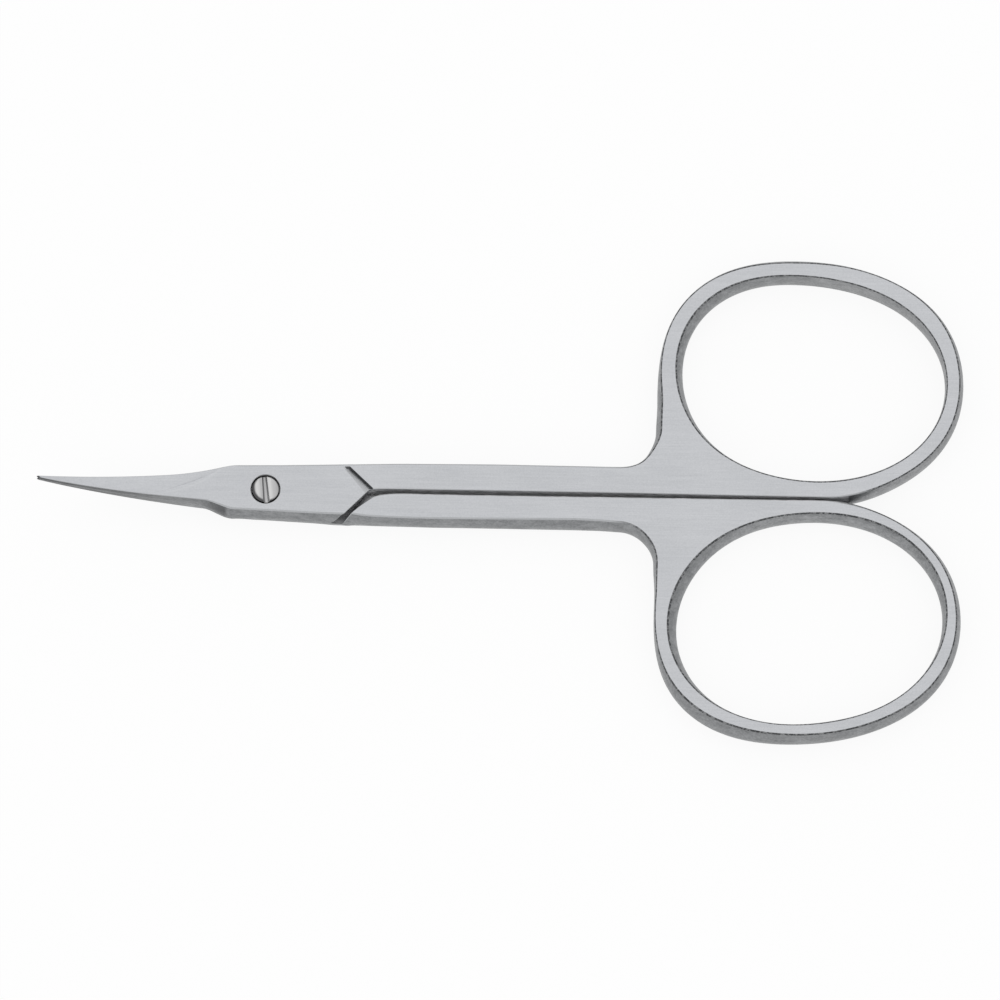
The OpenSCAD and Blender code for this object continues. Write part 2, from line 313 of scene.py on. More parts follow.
# finish numbers: 0 ground face with a painted highlight, 1 tumbled side with painted shade, 2 broken edge
# with painted shade round the rings, 3 crevice with painted shade at the lap's end, 4 bank of the groove
# with painted shade, 5 its root, a painted shadow
wallFinish = [2] * forging["breakRows"] + [1] * forging["wallRows"] + [2] * forging["breakRows"]
creviceFinish = [2] * forging["breakRows"] + [3] * (forging["wallRows"] + forging["breakRows"])


def gridFaces(grid, finish, closed=False):
    # quads of a rows x columns grid of points, as flat arrays, with a finish number for each
    rows, cols = grid.shape[:2]
    index = np.arange(rows * cols).reshape(rows, cols)
    if closed:
        index = np.vstack([index, index[:1]])
    quads = np.stack([index[:-1, :-1], index[1:, :-1], index[1:, 1:], index[:-1, 1:]], -1)
    marks = np.broadcast_to(finish, quads.shape[:2])
    return grid.reshape(-1, 3), quads.reshape(-1, 4), marks.reshape(-1)


def closedMesh(name, parts, toWorld, materials):
    # joins grids that share their borders, merges the doubles and points every face outwards
    points, quads, marks, base = [], [], [], 0
    for p, q, m in parts:
        points.append(p)
        quads.append(q + base)
        marks.append(m)
        base += len(p)
    points, quads, marks = toWorld(np.vstack(points)) * mm, np.vstack(quads), np.hstack(marks)
    mesh = bpy.data.meshes.new(name)
    mesh.from_pydata(points.tolist(), [], quads.tolist())
    for m in materials:
        mesh.materials.append(m)
    mesh.polygons.foreach_set("material_index", marks.astype(np.int32))
    b = bmesh.new()
    b.from_mesh(mesh)
    bmesh.ops.remove_doubles(b, verts=b.verts, dist=mergeWithin)
    bmesh.ops.dissolve_degenerate(b, edges=b.edges, dist=thinWithin)
    bmesh.ops.recalc_face_normals(b, faces=b.faces)
    openEdges = sum(1 for e in b.edges if len(e.link_faces) != 2)
    b.to_mesh(mesh)
    b.free()
    print(name, len(mesh.polygons), "faces,", openEdges, "open edges")
    return mesh


def between(a, b, v, bow=None):
    # rows of points from a at v = 0 to b at v = 1, bowed by 4 v (1 - v)
    rows = a[:, None] * (1 - v)[None, :, None] + b[:, None] * v[None, :, None]
    return rows if bow is None else rows + 4 * (v * (1 - v))[None, :, None] * bow[:, None]


def radial(angle):
    # (cos angle, sin angle)
    return np.stack([np.cos(angle), np.sin(angle)], -1)


def stationsOf(h):
    # the key stations filled in: points on the tube's four edges, how far its sides bulge, its bow, how
    # far its face drops, its underside's height behind the shoulder, and whether it is behind it
    named = {"back": h["facetBack"], "edge": h["facetEdge"], "bow": h["facetBow"]}
    keys = [[named.get(c, c) for c in k] for k in keyStations]
    rows = [keys[0][1:]]
    for before, after in zip(keys, keys[1:]):
        for i in range(after[0]):
            u = (i + 1) / after[0]
            mix = [a + (b - a) * u for a, b in zip(before[1:6], after[1:6])]
            rows.append(mix + [after[6], before[7] + (after[7] - before[7]) * u])
    ax, bx, axLow, bxLow, drop = (np.array([r[i] for r in rows], float) for i in range(5))
    shoulderFrom, shoulderTo = forging["shoulderSpan"]
    onShoulder = (axLow > shoulderFrom) & (axLow < shoulderTo)
    axLow = np.where(onShoulder, axLow - h["shoulderForward"], axLow)
    full = np.array([r[5] is not None for r in rows])
    dip = np.where(full, knots(forging["cornerDip"], bxLow), 0)
    onJoint = ax <= forging["jointBack"] + forging["slack"]
    zero = np.zeros(len(ax))
    return {
        "farTop": np.stack([ax, farEdge(h, ax)], -1),
        "farLow": np.stack([axLow, farEdgeBelow(h, axLow, full)], -1),
        "nearTop": np.stack([bx, ownSideY(h, bx)], -1),
        "nearLow": np.stack([bxLow, ownSideY(h, bxLow) - dip], -1),
        "farBulge": np.stack([zero, np.where(onJoint, -knots(h["otherBulge"], ax), 0)], -1),
        "nearBulge": np.stack([zero, knots(h["ownBulge"], bx)], -1),
        "bow": np.array([[r[6], 0.0] for r in rows]),
        "drop": drop,
        "under": np.array([r[5] or 0.0 for r in rows]),
        "full": full,
    }


def rimOf(h):
    # the ring's outer edge by angle, from the neck's wall round to the gap, where it is pressed onto the
    # gap's line. Above the neck it shifts by exp(-((angle - a0) / w)^2)
    first, last = math.radians(forging["ringFrom"]), math.radians(forging["ringTo"])
    angle = np.linspace(first, last - 2 * math.pi, forging["ringColumns"])
    drawn, swell, at, spread = h["neckShift"]
    near = np.exp(-((angle - math.radians(at)) / math.radians(spread)) ** 2)
    radius = roundRing(h["outerFace"], angle) - drawn * near
    rim = np.array(h["ringCentre"]) + radius[:, None] * radial(angle)
    onGap = 1 - smoothStep((rim[:, 0] - forging["pressFrom"]) / forging["pressOver"])
    press = np.where(np.sin(angle) < 0, onGap, 0) * (angle < 0)
    rim[:, 1] += (knots(h["gapEdge"], rim[:, 0]) - rim[:, 1]) * press
    bulge = np.maximum(roundRing(h["outerBulge"], angle) + swell * near, forging["leastBulge"])
    return angle, rim, (bulge * (1 - press))[:, None] * radial(angle), press


def neckOf(h, start, startBulge):
    # the fillet is x0 + (x1 - x0) sin(t)^p, y0 + r (1 - cos t), leaning by e (sin(2t) sin(t))^2, and above
    # it the ring's outer wall rises to its oval
    x0, tuck = forging["filletX"], forging["filletTuck"]
    turn = np.radians(np.linspace(0, 90, forging["filletRows"] + 1)[1:])[:, None]
    fillet = np.hstack([x0 + (h["neckX"] - x0) * np.sin(turn) ** h["filletReach"],
                        knots(h["ownSide"], x0) + forging["filletRise"] * (1 - np.cos(turn))])
    fillet += np.array([h["filletEase"]]) * (np.sin(2 * turn) * np.sin(turn)) ** 2
    filletBulge = np.hstack([-h["filletBulge"] * np.sin(turn) ** h["filletPower"],
                             -tuck + (knots(h["ownBulge"], x0) + tuck) * np.cos(turn)])
    rise = np.linspace(0, 1, forging["neckRows"] + 1)[1:, None]
    up = smoothStep(rise)
    wall = fillet[-1] + (start - fillet[-1]) * np.hstack([up, rise])
    wallBulge = filletBulge[-1] + (startBulge - filletBulge[-1]) * up
    return np.vstack([fillet, wall]), np.vstack([filletBulge, wallBulge])


def tubeOf(h, rim, rimBulge):
    # the stations with the neck's added, whose far side keeps to the gap's line
    tube = stationsOf(h)
    neck, neckBulge = neckOf(h, rim[0], rimBulge[0])
    n = len(neck)
    gapX = np.linspace(tube["farTop"][-1, 0], rim[-1, 0], n + 1)[1:]
    gap = np.stack([gapX, knots(h["gapEdge"], gapX)], -1)
    bow = np.array([forging["neckBow"]]) * smoothStep(np.linspace(0, 1, n + 1)[1:])[:, None]
    added = {"farTop": gap, "farLow": gap, "nearTop": neck, "nearLow": neck, "farBulge": 0 * gap,
             "nearBulge": neckBulge, "bow": bow, "drop": np.zeros(n), "under": np.zeros(n),
             "full": np.ones(n, bool)}
    return {key: np.concatenate([tube[key], added[key]]) for key in tube}


def tubeMarks(tube, rows, columns):
    # the finish of each quad: the tip is dark with painted shade, the groove stops short of the side with
    # a painted-shadow end, and the shoulder's foot and the walls of the lap's end and the gap are grimy,
    # with painted shade on the lap's end and the shoulder
    face = np.zeros((rows, columns), int)
    face[0] = 1
    k = int(np.argmax(tube["drop"]))
    face[k - 3:k + 2] = np.array([[4], [4], [4], [5], [5]])
    face[k - 2:k + 1, -3:-1] = 5
    face[k - 3:k + 2, -1] = 0
    low = np.zeros((rows, 1), int)
    s = int(np.argmax(tube["full"]))
    low[s - 4:s + 1, 0] = [3, 3, 3, 3, 2]
    behindJoint = tube["farTop"][1:, :1] > forging["jointBack"] + forging["slack"]
    return face, low, np.where(behindJoint, creviceFinish, wallFinish), np.tile(wallFinish, (rows, 1))


def tubeSurfaces(h, tube, farN, nearN):
    # face, underside, far wall and near wall of the tube
    farTop, farLow, nearTop, nearLow = (tube[k] for k in ("farTop", "farLow", "nearTop", "nearLow"))
    full, under, bow = tube["full"], tube["under"], tube["bow"]
    share, fromX, over = forging["bladeBreak"]
    width = np.linalg.norm(nearTop - farTop, axis=1)
    ease = (np.minimum(forging["edgeBreak"], forging["breakOfWidth"] * width)
            * (share + (1 - share) * smoothStep((farTop[:, 0] - fromX) / over)))
    easeLow = np.where(full, ease, forging["lapBreak"])
    v = np.linspace(0, 1, forging["faceColumns"])
    line = between(farTop - farN * ease[:, None], nearTop - nearN * ease[:, None], v, bow)
    runOut, runOver = forging["grooveEnd"]
    blunt = np.where(farTop[:, :1] > 0, 1 - smoothStep((v - runOut) / runOver), 1)
    groove = forging["grooveDepth"] * tube["drop"][:, None] * blunt
    face = np.dstack([line, faceZ(h, line[..., 0], line[..., 1], v[None]) - groove])

    sign = 1 if "hollowX" in h else -1
    narrowFrom, narrowOver, narrowShare = forging["meetNarrows"]

    def lowZ(x):
        # underside of the blade and joint: the slit narrows towards the tip
        narrow = 1 - narrowShare * smoothStep((narrowFrom - x) / narrowOver)
        return forging["thickness"] / 2 + forging["meetGap"] * narrow + sign * meetingZ(x)

    farWall = wallColumns(farTop, farLow, tube["farBulge"], farN, face[:, 0, 2],
                          np.where(full, under, lowZ(farLow[:, 0])), full, ease, easeLow)
    nearWall = wallColumns(nearTop, nearLow, tube["nearBulge"], nearN, face[:, -1, 2],
                           np.where(full, under, lowZ(nearLow[:, 0])), full, ease, easeLow)
    low = between(farWall[:, -1, :2], nearWall[:, -1, :2], v, bow)
    lowHeight = np.where(full[:, None], under[:, None], lowZ(low[..., 0]))
    lowHeight[:, 0], lowHeight[:, -1] = farWall[:, -1, 2], nearWall[:, -1, 2]
    return face, np.dstack([low, lowHeight]), farWall, nearWall


def ringGrids(h, angle, rim, rimBulge, rimN, press, surfaces):
    # the ring's faces run from its outer edge to its hole; those over the neck start at the tube's end
    face, underside, farWall, nearWall = surfaces
    first, last = math.radians(forging["ringFrom"]), math.radians(forging["ringTo"])
    v = np.linspace(0, 1, forging["faceColumns"])
    angles = np.hstack([last + (first - last) * v, angle[1:-1]])
    hole = np.array(h["ringCentre"]) + roundRing(h["innerFace"], angles)[:, None] * radial(angles)
    bulge = np.maximum(roundRing(h["innerBulge"], angles), forging["leastBulge"])
    holeN = -outwardNormals(np.vstack([hole[-1:], hole, hole[:1]]))[1:-1]
    count, rimCount = len(hole), len(rim)
    high, deep, full = np.full(count, forging["thickness"]), np.zeros(count), np.ones(count, bool)
    ease = np.full(count, forging["edgeBreak"])
    holeBulge = -bulge[:, None] * radial(angles)
    holeWall = wallColumns(hole, hole, holeBulge, holeN, high, deep, full, ease, ease)
    rimWall = wallColumns(rim, rim, rimBulge, rimN, high[:rimCount], deep[:rimCount], full[:rimCount],
                          ease[:rimCount], ease[:rimCount])
    rimWall[0], rimWall[-1] = nearWall[-1], farWall[-1]
    w = np.linspace(0, 1, forging["bandColumns"])
    bandTop = between(np.vstack([face[-1], rimWall[1:-1, 0]]), holeWall[:, 0], w)
    bandLow = between(np.vstack([underside[-1], rimWall[1:-1, -1]]), holeWall[:, -1], w)
    return [gridFaces(bandTop, 0, True), gridFaces(bandLow, 0, True),
            gridFaces(holeWall, np.tile(wallFinish, (count, 1)), True),
            gridFaces(rimWall, np.where(press[1:, None] > 0, creviceFinish, wallFinish))]


def halfGrids(h):
    # every grid of one half: the tube of stations from tip to neck, the tip's cap and the ring
    angle, rim, rimBulge, press = rimOf(h)
    tube = tubeOf(h, rim, rimBulge)
    j = len(tube["farTop"])
    normals = outwardNormals(np.vstack([tube["nearTop"], rim[1:-1], tube["farTop"][::-1]]))
    nearN, rimN, farN = normals[:j], normals[j - 1:j + len(rim) - 1], normals[:-j - 1:-1]
    surfaces = tubeSurfaces(h, tube, farN, nearN)
    face, underside, farWall, nearWall = surfaces
    faceMarks, lowMarks, farMarks, nearMarks = tubeMarks(tube, len(face) - 1, face.shape[1] - 1)
    cap = between(farWall[0], nearWall[0], np.linspace(0, 1, forging["faceColumns"]))
    cap[0], cap[-1] = face[0], underside[0]
    return [gridFaces(face, faceMarks), gridFaces(underside, lowMarks), gridFaces(farWall, farMarks),
            gridFaces(nearWall, nearMarks), gridFaces(cap, 1),
            *ringGrids(h, angle, rim, rimBulge, rimN, press, surfaces)]


def revolved(name, profile, finish, materials, steps=96):
    # a profile (r, z) turned about +Z, with its first and last points on the axis
    turn = np.linspace(0, 2 * math.pi, steps, endpoint=False)[:, None]
    profile = np.array(profile, float)
    grid = np.dstack([profile[:, 0] * np.cos(turn), profile[:, 0] * np.sin(turn),
                      np.broadcast_to(profile[:, 1], (steps, len(profile)))])
    return closedMesh(name, [gridFaces(grid, np.array([finish]), True)], lambda p: p, materials)


def cutAway(mesh, cutters):
    # the mesh less each cutter, with the finish numbers of both kept
    body = bpy.data.objects.new("cutting", mesh)
    bpy.context.scene.collection.objects.link(body)
    tools = []
    for cutter in cutters:
        tool = bpy.data.objects.new(cutter.name, cutter)
        bpy.context.scene.collection.objects.link(tool)
        tools.append(tool)
        cut = body.modifiers.new(cutter.name, "BOOLEAN")
        cut.operation, cut.solver, cut.object = "DIFFERENCE", "EXACT", tool
        cut.material_mode = "INDEX"
    result = bpy.data.meshes.new_from_object(body.evaluated_get(bpy.context.evaluated_depsgraph_get()))
    for o in [body, *tools]:
        bpy.data.objects.remove(o)
    return result


# where the painted highlight runs along the facet line
facetHighlightLine = {
    "ahead": 0.05,
    "width": 0.22,
    "aboveZ": 2.4,
    "fadeFrom": -0.02,  # it fades in across the blade from its back
    "fadeOver": 0.3,
}


def addFacetHighlight(mesh, h, toWorld):
    # painted highlight: 1 along the line where the ground face starts: exp(-((x - line + a) / w)^2)
    d = facetHighlightLine
    p = np.empty(len(mesh.vertices) * 3, np.float32)
    mesh.vertices.foreach_get("co", p)
    x, y, z = toWorld(p.reshape(-1, 3) / mm).T
    other, own = otherSideY(h, x), ownSideY(h, x)
    v = np.clip((y + other) / (own + other), 0, 1)
    ridge = np.exp(-((x - facetX(h, v) + d["ahead"]) / d["width"]) ** 2)
    ridge = ridge * (z > d["aboveZ"]) * smoothStep((v - d["fadeFrom"]) / d["fadeOver"])
    mesh.attributes.new("rub", "FLOAT", "POINT").data.foreach_set("value", ridge.astype(np.float32))


def addPiece(name, mesh, body, nodes, sharpAngle=6):
    mesh.name = name
    mesh.shade_smooth()
    mesh.set_sharp_from_angle(angle=math.radians(sharpAngle))
    piece = bpy.data.objects.new(name, mesh)
    bpy.context.scene.collection.objects.link(piece)
    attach(piece, body)
    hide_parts(*nodes)


# shader maths

class Value:
    # wraps a socket; + - * on it add Math nodes, and node() adds any other kind
    def __init__(self, tree, socket):
        self.tree, self.socket = tree, socket

    def node(self, kind, settings, inputs, output=0):
        made = self.tree.nodes.new(kind)
        for key, value in settings.items():
            if key == "stops":
                ramp = made.color_ramp
                while len(ramp.elements) < len(value):
                    ramp.elements.new(0.5)
                for element, (place, grey) in zip(ramp.elements, value):
                    element.position, element.color = place, (grey, grey, grey, 1)
            else:
                setattr(made, key, value)
        for key, value in inputs.items():
            if isinstance(value, Value):
                self.tree.links.new(value.socket, made.inputs[key])
            else:
                made.inputs[key].default_value = value
        return Value(self.tree, made.outputs[output])

    def maths(self, operation, a, b):
        return self.node("ShaderNodeMath", {"operation": operation}, {0: a, 1: b})

    def __add__(self, other):
        return self.maths("ADD", self, other)

    def __sub__(self, other):
        return self.maths("SUBTRACT", self, other)

    def __mul__(self, other):
        return self.maths("MULTIPLY", self, other)

    def __rsub__(self, other):
        return self.maths("SUBTRACT", other, self)

    __radd__ = __add__
    __rmul__ = __mul__

    def mixColour(self, a, b):
        # colour a at 0, b at 1; each is a value or three numbers
        a, b = (c if isinstance(c, Value) else (*c, 1) for c in (a, b))
        return self.node("ShaderNodeMix", {"data_type": "RGBA"}, {0: self, 6: a, 7: b}, 2)


def newMaterial(name):
    # the material and its object coordinates
    material = bpy.data.materials.new(name)
    material.use_nodes = True
    tree = material.node_tree
    return material, Value(tree, tree.nodes.new("ShaderNodeTexCoord").outputs["Object"])


def dress(material, inputs):
    # links a value to each socket named, or sets a plain number or colour on it
    shader = material.node_tree.nodes["Principled BSDF"]
    for name, value in inputs.items():
        if isinstance(value, Value):
            material.node_tree.links.new(value.socket, shader.inputs[name])
        else:
            shader.inputs[name].default_value = value
    return material


def noise(place, scale, stretch=(1, 1, 1), detail=3.0, roughness=0.5):
    # noise on object coordinates, in cycles per metre, stretched by a Mapping node
    at = place.node("ShaderNodeMapping", {}, {"Vector": place, "Scale": stretch})
    return place.node("ShaderNodeTexNoise", {},
                      {"Vector": at, "Scale": scale, "Detail": detail, "Roughness": roughness})


def ramp(value, stops):
    # a colour ramp over 0 to 1, on its first output
    return value.node("ShaderNodeValToRGB", {"stops": stops}, {"Fac": value})


def span(value, low, high):
    # 0 at low, 1 at high, clamped
    return value.node("ShaderNodeMapRange", {"clamp": True},
                      {"Value": value, "From Min": low, "From Max": high, "To Min": 0.0, "To Max": 1.0})


def bump(height, distance):
    return height.node("ShaderNodeBump", {}, {"Height": height, "Distance": distance, "Strength": 1.0})


def axisOf(place, n):
    # one object coordinate, in mm
    return place.node("ShaderNodeSeparateXYZ", {}, {0: place}, n) * 1000.0


def absolute(value):
    return value.maths("ABSOLUTE", value, 0)


def wander(value, ragged, amount):
    # the value shifted by noise from 0 to 1, as much down as up
    return value + ragged * amount - amount / 2


groundSteel = {
    "bright": (0.60, 0.61, 0.632),
    "darkerTone": (0.50, 0.512, 0.533),
    "facetHighlightColour": (0.70, 0.71, 0.72),
    "facetHighlightShare": 0.22,
    "roughness": 0.28,
    "grainRoughness": 0.07,
    "speckleRoughness": 0.04,
    "toneShares": (0.4, 0.4, 0.2),  # of grain, speckle and clouds
    "toneFrom": 0.34,
    "toneTo": 0.66,
    "grainPerMetre": 8000,
    "grainStretch": (0.035, 1, 1),
    "specklePerMetre": 6500,
    "cloudsPerMetre": 260,
    "grainHeight": 0.0000015,
    "speckleHeight": 0.5,  # against the grain
}


def makeGroundSteel():
    # lengthwise grain from the belt, fine speckle, and a painted highlight along the line where the ground
    # face starts
    d = groundSteel
    material, place = newMaterial("groundSteel")
    grain = noise(place, d["grainPerMetre"], d["grainStretch"], 4.0, 0.6)
    speckle = noise(place, d["specklePerMetre"], (1, 1, 1), 2.0)
    clouds = noise(place, d["cloudsPerMetre"], (0.5, 1, 1), 2.0)
    a, b, c = d["toneShares"]
    tone = span(grain * a + speckle * b + clouds * c, d["toneFrom"], d["toneTo"])
    # painted highlight along the facet line, read from the mesh
    rub = place.node("ShaderNodeAttribute", {"attribute_name": "rub"}, {}, 2)
    return dress(material, {
        "Base Color": (rub * d["facetHighlightShare"]).mixColour(tone.mixColour(d["bright"], d["darkerTone"]), d["facetHighlightColour"]),
        "Roughness": d["roughness"] + grain * d["grainRoughness"] + speckle * d["speckleRoughness"],
        "Metallic": 1.0,
        "Normal": bump(grain + speckle * d["speckleHeight"], d["grainHeight"]),
    })


tumbledSteelShaded = {
    "toneFrom": -22.3,  # painted shade: how light the sides are from the tip at 0 to the joint at 1, over these mm
    "toneTo": -2.3,
    "sideShadeStops": [(0.0, 0.02), (0.05, 0.26), (0.4, 0.42), (0.62, 0.78), (0.8, 0.86), (0.86, 0.5),
                  (0.915, 0.4), (0.935, 1.0), (1.0, 1.0)],
    "light": (0.345, 0.352, 0.36),
    "dark": (0.185, 0.19, 0.196),
    # painted shade: the sides along the blades and at the tip
    "blade": (0.035, 0.036, 0.038),
    "holeLight": (0.44, 0.448, 0.458),  # painted light: a lighter patch on the -Y finger hole's inner side
    "holeLightStops": [(0.0, 0.0), (0.3, 0.0), (0.42, 0.55), (0.5, 0.55), (0.6, 0.0), (1.0, 0.0)],
    "holeLightAcross": 24,
    "holeLightFrom": 39,
    "holeLightTo": 44,
    "skinFrom": 0.3,
    "skinTo": 0.7,
    "roughness": 0.36,
    "toneRoughness": 0.12,
    "mottlePerMetre": 1500,
    "pitPerMetre": 5600,
    "pitHeight": 0.000005,
}


def tumbledColourShaded(place):
    # colour, tone and pits of the tumbled skin; the colour carries painted shade, darker than the faces and
    # darkest at the tip
    d = tumbledSteelShaded
    mottle = noise(place, d["mottlePerMetre"], (0.5, 1, 1), 3.0, 0.6)
    pits = noise(place, d["pitPerMetre"], (0.8, 1, 1), 2.0, 0.6)
    tone = span(mottle * 0.5 + pits * 0.5, d["skinFrom"], d["skinTo"])
    # painted light on the -Y finger hole's inner wall
    across = ramp(span(axisOf(place, 1), -d["holeLightAcross"], d["holeLightAcross"]), d["holeLightStops"])
    holeLight = across * span(axisOf(place, 0), d["holeLightFrom"], d["holeLightTo"])
    skin = tone.mixColour(holeLight.mixColour(d["light"], d["holeLight"]), d["dark"])
    # painted shade along x, from the tip to the joint
    along = ramp(span(axisOf(place, 0), d["toneFrom"], d["toneTo"]), d["sideShadeStops"])
    return along.mixColour(d["blade"], skin), tone, pits


def makeTumbledSteelShaded():
    # the mottled skin that tumbling leaves on the sides, with painted shade that keeps them darker than the
    # faces and darkest along the blades
    d = tumbledSteelShaded
    material, place = newMaterial("tumbledSteelShaded")
    colour, tone, pits = tumbledColourShaded(place)
    return dress(material, {
        "Base Color": colour,
        "Roughness": d["roughness"] + tone * d["toneRoughness"],
        "Metallic": 1.0,
        "Normal": bump(pits, d["pitHeight"]),
    })


brokenEdge = {
    "light": (0.50, 0.51, 0.525),
    "worn": (0.40, 0.41, 0.42),
    # painted shade on the edges round the rings, ragged between these two
    "ring": (0.065, 0.067, 0.07),
    "ringEdgeHalfShade": (0.25, 0.255, 0.26),
    "ringFrom": 33.5,  # where the painted shade on the ring edges starts along x, and away from the gap across it
    "ringTo": 36.5,
    "gapFrom": 0.5,
    "gapTo": 1.1,
    "raggedFrom": 0.46,
    "raggedTo": 0.60,
    "roughness": 0.36,
    "wearRoughness": 0.1,
    "wearPerMetre": 4200,
}


def makeBrokenEdge():
    # softened edges: bright along joint and shanks, with a ragged painted shade on them round the rings
    d = brokenEdge
    material, place = newMaterial("brokenEdge")
    wear = noise(place, d["wearPerMetre"], (1, 1, 1), 3.0, 0.65)
    bright = wear.mixColour(d["light"], d["worn"])
    # painted shade for the ring edges, broken up by the wear noise
    dark = span(wear, d["raggedFrom"], d["raggedTo"]).mixColour(d["ring"], d["ringEdgeHalfShade"])
    ring = (span(axisOf(place, 0), d["ringFrom"], d["ringTo"])
            * span(absolute(axisOf(place, 1)), d["gapFrom"], d["gapTo"]))
    return dress(material, {
        "Base Color": ring.mixColour(bright, dark),
        "Roughness": d["roughness"] + wear * d["wearRoughness"],
        "Metallic": 1.0,
    })


creviceSteel = {
    "colour": (0.56, 0.565, 0.58),
    "grime": (0.30, 0.305, 0.315),
    "lapEndShadeShare": 0.5,  # painted shade: how light the lap's end and the shoulder are against the gap
    "endFrom": 0.3,
    "endTo": 1.5,
    "metallic": 0.3,
    "roughness": 0.5,
    "crotchFrom": 53.0,
    "crotchTo": 60.0,
    "grimePerMetre": 2400,
    "grimeFrom": 0.35,
    "grimeTo": 0.65,
}


def makeCreviceSteel():
    # the walls of the gap, the lap and the groove: unpolished and grimy, with painted shade on the lap's
    # end and the shoulder away from the gap, clean again past the crotch
    d = creviceSteel
    material, place = newMaterial("creviceSteel")
    grime = span(noise(place, d["grimePerMetre"], (0.4, 1, 1), 3.0), d["grimeFrom"], d["grimeTo"])
    colour, _, pits = tumbledColourShaded(place)
    past = span(axisOf(place, 0), d["crotchFrom"], d["crotchTo"])
    inside = grime.mixColour(d["colour"], d["grime"])
    # painted shade on the lap's end and the shoulder
    outside = grime.mixColour(*[[v * d["lapEndShadeShare"] for v in d[key]] for key in ("colour", "grime")])
    deep = span(absolute(axisOf(place, 1)), d["endFrom"], d["endTo"]).mixColour(inside, outside)
    return dress(material, {
        "Base Color": past.mixColour(deep, colour),
        "Roughness": d["roughness"],
        "Metallic": past * (1 - d["metallic"]) + d["metallic"],
        "Normal": bump(pits, tumbledSteelShaded["pitHeight"]),
    })


grooveBank = {
    "light": (0.52, 0.53, 0.545),
    "dark": (0.06, 0.062, 0.065),
    "stops": [(0.0, 0.0), (0.5, 0.15), (0.85, 0.4), (1.0, 0.9)],
    "wander": 0.06,
    "roughness": 0.4,
    "grainRoughness": 0.1,
    "grainPerMetre": 7000,
}


def makeGrooveBank():
    # milled bank with painted shade, darker with its depth below the face, on either side of the scissors
    d = grooveBank
    material, place = newMaterial("grooveBank")
    half = forging["thickness"] / 2
    grain = noise(place, d["grainPerMetre"], (1, 1, 1), 3.0)
    level = wander(absolute(axisOf(place, 2) - half), grain, d["wander"])
    # painted shade deepening towards the groove's root
    depth = ramp(span(level, half, half - forging["grooveDepth"]), d["stops"])
    return dress(material, {
        "Base Color": depth.mixColour(d["light"], d["dark"]),
        "Roughness": d["roughness"] + grain * d["grainRoughness"],
        "Metallic": 1.0,
    })


grooveRootShadow = {
    "colour": (0.085, 0.087, 0.091),
    "metallic": 0.6,
    "roughness": 0.5,
}


def makeGrooveRootShadow():
    # painted shadow: the foot of the groove coloured dark
    d = grooveRootShadow
    material = newMaterial("grooveRootShadow")[0]
    return dress(material, {
        "Base Color": (*d["colour"], 1),
        "Roughness": d["roughness"],
        "Metallic": d["metallic"],
    })


screw = {
    "headRadius": 1.29,
    "headTop": 3.12,
    "headLow": 2.4,
    "journalRadius": 1.0,
    "journalLow": 1.55,
    "threadRadius": 0.85,
    "threadPlay": 0.005,
    "slotWidth": 0.46,
    "slotDepth": 0.24,
    "slotTurn": 6,
    "slotReach": 2.0,
    "slotLip": 0.05,
    "slotCorner": 0.06,
    "slotLean": 0.13,
    "slotFlare": 0.25,
    "slotWidens": 0.12,  # share of the slot's width gained for each mm towards -Y
    "chamfer": 0.06,
    "seatRadius": 1.44,
    "seatLow": 2.36,
    "seatMouth": 3.16,
    "seatFlare": 0.10,
    "boreRadius": 1.03,
    "boreLow": 1.0,
    "boreTop": 2.6,
    "threadTop": 2.2,
    "threadMouth": 0.06,
    "threadBelow": 0.5,
}

screwSteel = {
    "bright": (0.66, 0.66, 0.66),
    "darkerTone": (0.33, 0.33, 0.335),
    "shaded": (0.09, 0.09, 0.093),
    "stops": [(0.0, 0.7), (0.1, 0.5), (0.15, 0.1), (0.21, 0.0), (0.28, 0.3), (0.34, 0.6), (0.58, 0.4),
              (0.62, 0.05), (0.7, 0.05), (0.78, 0.4), (0.9, 0.6), (1.0, 0.85)],
    "crescentCentre": (0.20, 0.17, 0),
    "crescentFrom": 0.9,
    "crescentTo": 1.03,
    "crescentWander": 0.16,
    "bandWander": 0.3,
    "roughness": 0.3,
    "streakRoughness": 0.1,
    "streakPerMetre": 6500,
    "streakHeight": 0.000003,
}


def turnedPlace(place):
    # object coordinates turned with the slot
    return place.node("ShaderNodeMapping", {},
                      {"Vector": place, "Rotation": (0, 0, math.radians(-screw["slotTurn"]))})


def makeScrewSteel():
    # brushed along the slot, with bands of painted light and shade across the head and a painted-shadow
    # crescent on its low side
    d = screwSteel
    material, place = newMaterial("screwSteel")
    turned = turnedPlace(place)
    streak = noise(turned, d["streakPerMetre"], (1, 0.05, 1), 4.0, 0.65)
    r = screw["headRadius"]
    # bands of painted light and shade across the head
    bands = ramp(span(wander(axisOf(turned, 0), streak, d["bandWander"]), -r, r), d["stops"])
    # painted shadow crescent on the head's low side
    flat = turned.node("ShaderNodeVectorMath", {"operation": "MULTIPLY"}, {0: turned, 1: (1000, 1000, 0)})
    centre = d["crescentCentre"]
    away = flat.node("ShaderNodeVectorMath", {"operation": "DISTANCE"}, {0: flat, 1: centre}, 1)
    away = wander(away, streak, d["crescentWander"])
    crescent = span(away, d["crescentFrom"] * r, d["crescentTo"] * r)
    return dress(material, {
        "Base Color": crescent.mixColour(bands.mixColour(d["bright"], d["darkerTone"]), d["shaded"]),
        "Roughness": d["roughness"] + streak * d["streakRoughness"],
        "Metallic": 1.0,
        "Normal": bump(streak, d["streakHeight"]),
    })


